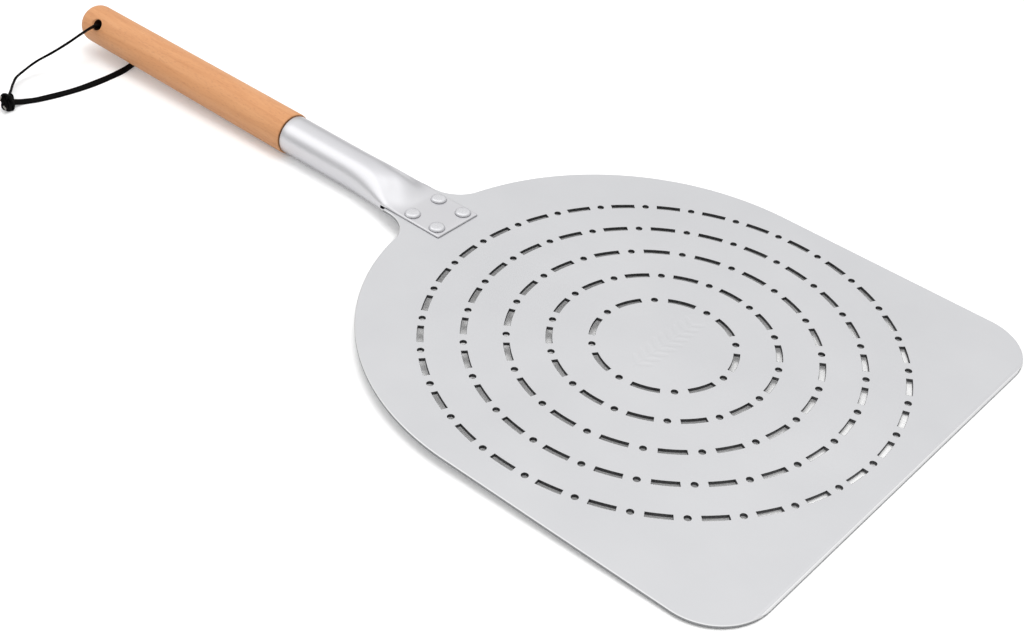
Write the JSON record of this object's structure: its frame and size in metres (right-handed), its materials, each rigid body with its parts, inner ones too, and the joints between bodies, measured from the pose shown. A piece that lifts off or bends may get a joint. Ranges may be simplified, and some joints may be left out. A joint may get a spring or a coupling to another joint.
{
  "type": "pizza peel",
  "caption": "Perforated aluminium pizza peel: flat blade riveted between the tongues of a flattened tube, round beech grip, hanging cord.",
  "frame": {"origin": "centre of the hole rings, on the blade's flat underside", "axes": "+X towards the blade's straight front edge, +Y to the left of someone holding the grip, +Z out of the blade's top face; the handle runs to -X"},
  "size_m": [0.6526, 0.305, 0.032],
  "materials": {
    "blade_aluminium": "fine matt blasted",
    "tube_aluminium": "satin, drawn along its length",
    "rivet_aluminium": "satin pressed head",
    "beech": "sanded and oiled beech",
    "screw_steel": "zinc plated",
    "cord": "black waxed leather lace"
  },
  "bodies": {
    "peel": {"blade": "blade_aluminium", "handle_tube": "tube_aluminium", "rivet_front_left": "rivet_aluminium", "rivet_front_right": "rivet_aluminium", "rivet_rear_left": "rivet_aluminium", "rivet_rear_right": "rivet_aluminium", "wood_grip": "beech", "grip_screw": "screw_steel"},
    "cord": {"hang_cord": "cord"}
  },
  "joints": [
    {"name": "cord_swing", "type": "hinge", "parent": "peel", "child": "cord", "pos_m": [-0.4807, 0, 0.001], "axis": [0, -0.8059, 0.592], "range_deg": [-190, 5]}
  ]
}
